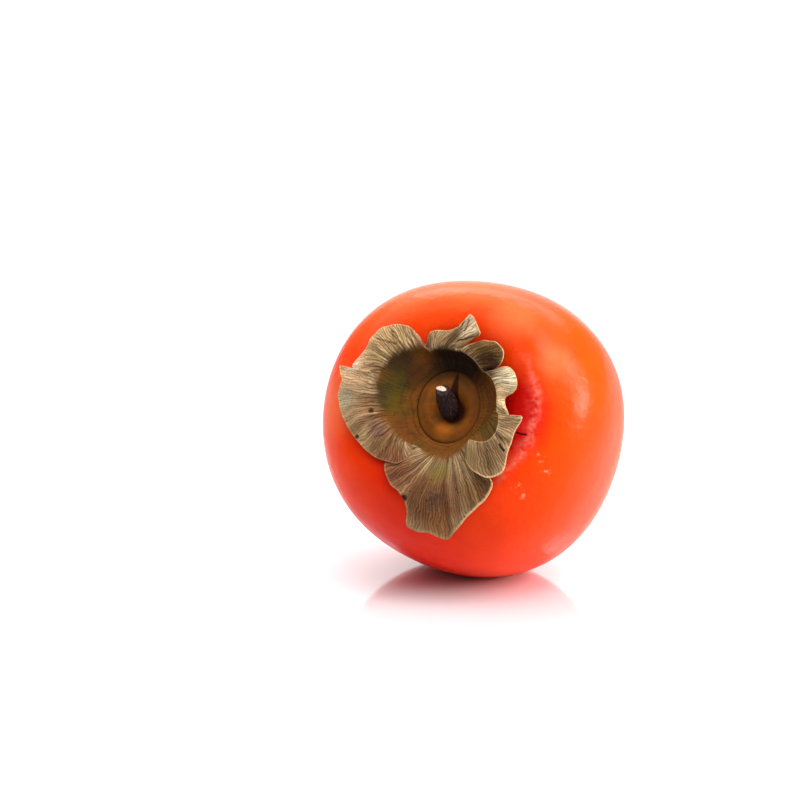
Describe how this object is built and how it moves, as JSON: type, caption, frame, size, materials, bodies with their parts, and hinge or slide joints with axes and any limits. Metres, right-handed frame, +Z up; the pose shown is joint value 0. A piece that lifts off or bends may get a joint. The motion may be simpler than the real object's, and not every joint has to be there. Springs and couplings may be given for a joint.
{
  "type": "persimmon",
  "caption": "Whole ripe persimmon lying on its side, with its dried lobed calyx, woody disc and broken stalk stub.",
  "frame": {"origin": "on the small flat that the fruit rests on, straight below the middle of the fruit", "axes": "+Z up; the calyx faces -Y, a little to -X and up, so a viewer who looks along +Y sees it"},
  "size_m": [0.0812, 0.0783, 0.0787],
  "materials": {
    "fruit": "smooth waxy skin",
    "calyx": "dry papery leaf",
    "receptacle": "dry woody",
    "stalk_stub": "dry broken stalk",
    "style_tip": "dry"
  },
  "bodies": {
    "root": {"fruit": "fruit", "calyx": "calyx", "receptacle": "receptacle", "stalk_stub": "stalk_stub", "style_tip": "style_tip"}
  },
  "joints": []
}
